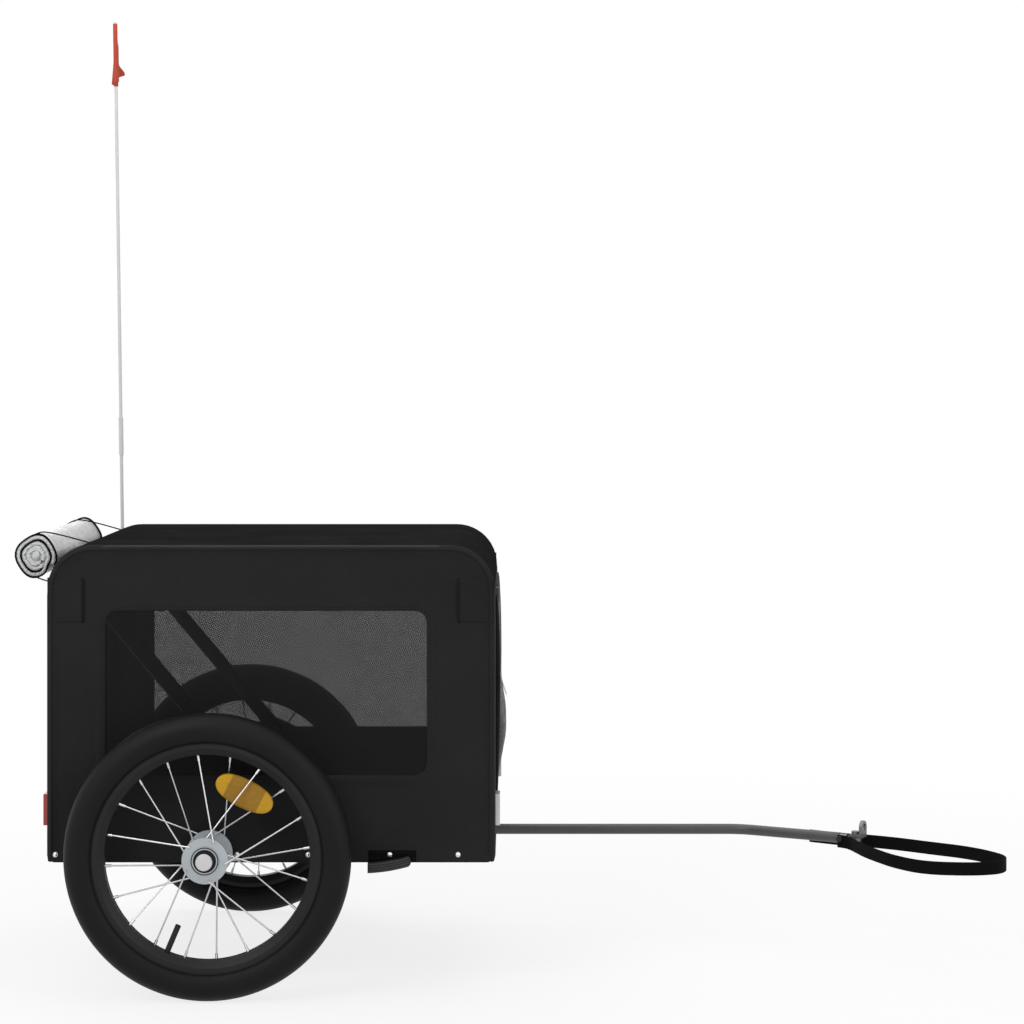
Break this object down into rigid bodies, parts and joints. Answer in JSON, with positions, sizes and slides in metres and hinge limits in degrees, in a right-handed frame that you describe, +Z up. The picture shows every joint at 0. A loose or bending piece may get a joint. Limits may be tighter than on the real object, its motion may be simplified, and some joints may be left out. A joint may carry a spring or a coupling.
{
  "type": "dog bike trailer",
  "caption": "Dog trailer for towing behind a bike: a boxy black fabric cabin with mesh side windows on spoked quick-release wheels, with an offset tow bar, safety strap and flag.",
  "frame": {"origin": "on the ground under the middle of the trailer's box, the safety strap left out", "axes": "+X forward along the tow bar, +Y to the trailer's left, +Z up along the flag pole"},
  "size_m": [1.441, 0.7422, 1.4329],
  "materials": {
    "frame_paint": "satin",
    "black_fabric": "woven",
    "mesh": "fine net",
    "webbing": "woven",
    "clear_film": "clear",
    "board": "matt",
    "mat": "quilted",
    "zinc": "bright",
    "grey_paint": "satin",
    "black_plastic": "matt",
    "zip_metal": "dark",
    "white_reflector": "prismatic",
    "red_reflector": "prismatic",
    "amber_reflector": "prismatic",
    "tyre": "smooth",
    "rubber": "matt",
    "rim_paint": "satin",
    "alloy": "satin",
    "steel": "bright",
    "spoke": "bright",
    "grey_plastic": "satin",
    "pole": "satin",
    "pennant": "woven"
  },
  "bodies": {
    "chassis": {"side_rails": "frame_paint", "cross_members": "frame_paint", "frame_bolts": "zinc", "axle_beam": "frame_paint", "axle_receivers": "zinc", "side_hoops": "frame_paint", "hoop_spigots": "black_plastic", "side_braces": "frame_paint", "top_bars": "frame_paint", "floor_board": "board", "floor_mat": "mat", "right_side_panel": "black_fabric", "left_side_panel": "black_fabric", "window_meshes": "mesh", "roof_panel": "black_fabric", "front_panel": "black_fabric", "rear_panel": "black_fabric", "rear_cover_roll": "clear_film", "roll_ties": "webbing", "front_reflectors": "white_reflector", "rear_reflectors": "red_reflector", "tow_bar_guides": "black_plastic", "flag_holder": "black_plastic", "stand_bracket": "frame_paint", "stand_pin": "zinc"},
    "front_cover": {"front_cover_binding": "webbing", "front_cover_film": "clear_film"},
    "zip_slider": {"zip_slider": "zip_metal"},
    "tow_bar": {"tow_bar": "grey_paint", "tow_tongue": "zinc", "hitch_bolt": "zinc", "strap_bolt": "zinc", "safety_strap": "webbing"},
    "hitch_eye": {"hitch_eye": "zinc"},
    "tow_knob": {"tow_clamp_knob": "black_plastic"},
    "flag": {"flag_pole_lower": "pole", "flag_pole_upper": "pole", "flag_pennant": "pennant"},
    "stand": {"stand_leg": "frame_paint", "stand_shoe": "rubber"},
    "right_axle": {"right_axle": "steel"},
    "right_wheel": {"right_tyre": "tyre", "right_inner_tube": "rubber", "right_rim": "rim_paint", "right_hub": "alloy", "right_bearings": "steel", "right_spokes": "spoke", "right_valve": "rubber", "right_wheel_reflector": "amber_reflector"},
    "right_button": {"right_axle_button": "grey_plastic"},
    "left_axle": {"left_axle": "steel"},
    "left_wheel": {"left_tyre": "tyre", "left_inner_tube": "rubber", "left_rim": "rim_paint", "left_hub": "alloy", "left_bearings": "steel", "left_spokes": "spoke", "left_valve": "rubber", "left_wheel_reflector": "amber_reflector"},
    "left_button": {"left_axle_button": "grey_plastic"}
  },
  "joints": [
    {"name": "right_axle_pull", "type": "slide", "parent": "chassis", "child": "right_axle", "axis": [0, -1, 0], "range_m": [0, 0.1]},
    {"name": "right_wheel_spin", "type": "hinge", "parent": "right_axle", "child": "right_wheel", "pos_m": [-0.33871, -0.323, 0.2], "axis": [0, 1, 0], "continuous": true},
    {"name": "right_button_press", "type": "slide", "parent": "right_axle", "child": "right_button", "axis": [0, 1, 0], "range_m": [0, 0.003], "stiffness_N_per_m": 1500},
    {"name": "left_axle_pull", "type": "slide", "parent": "chassis", "child": "left_axle", "axis": [0, 1, 0], "range_m": [0, 0.1]},
    {"name": "left_wheel_spin", "type": "hinge", "parent": "left_axle", "child": "left_wheel", "pos_m": [-0.33871, 0.323, 0.2], "axis": [0, 1, 0], "continuous": true},
    {"name": "left_button_press", "type": "slide", "parent": "left_axle", "child": "left_button", "axis": [0, -1, 0], "range_m": [0, 0.003], "stiffness_N_per_m": 1500},
    {"name": "tow_bar_slide", "type": "slide", "parent": "chassis", "child": "tow_bar", "axis": [1, 0, 0], "range_m": [0, 0.2]},
    {"name": "tow_knob_turn", "type": "hinge", "parent": "chassis", "child": "tow_knob", "pos_m": [0.00829, 0.165, 0.13], "axis": [0, 0, 1], "range_deg": [0, 360]},
    {"name": "hitch_swivel", "type": "hinge", "parent": "tow_bar", "child": "hitch_eye", "pos_m": [0.60996, 0.07095, 0.159], "axis": [0, 0, 1], "range_deg": [-40, 40]},
    {"name": "stand_swing", "type": "hinge", "parent": "chassis", "child": "stand", "pos_m": [-0.08771, -0.11, 0.178], "axis": [1, 0, 0], "range_deg": [0, 90]},
    {"name": "front_cover_lift", "type": "hinge", "parent": "chassis", "child": "front_cover", "pos_m": [0.06159, 0, 0.558], "axis": [0, -1, 0], "range_deg": [0, 100]},
    {"name": "zip_slide", "type": "slide", "parent": "chassis", "child": "zip_slider", "axis": [0, 0, -1], "range_m": [0, 0.28]},
    {"name": "flag_lift", "type": "slide", "parent": "chassis", "child": "flag", "axis": [-0.0145, 0, 0.9999], "range_m": [0, 0.36]}
  ]
}
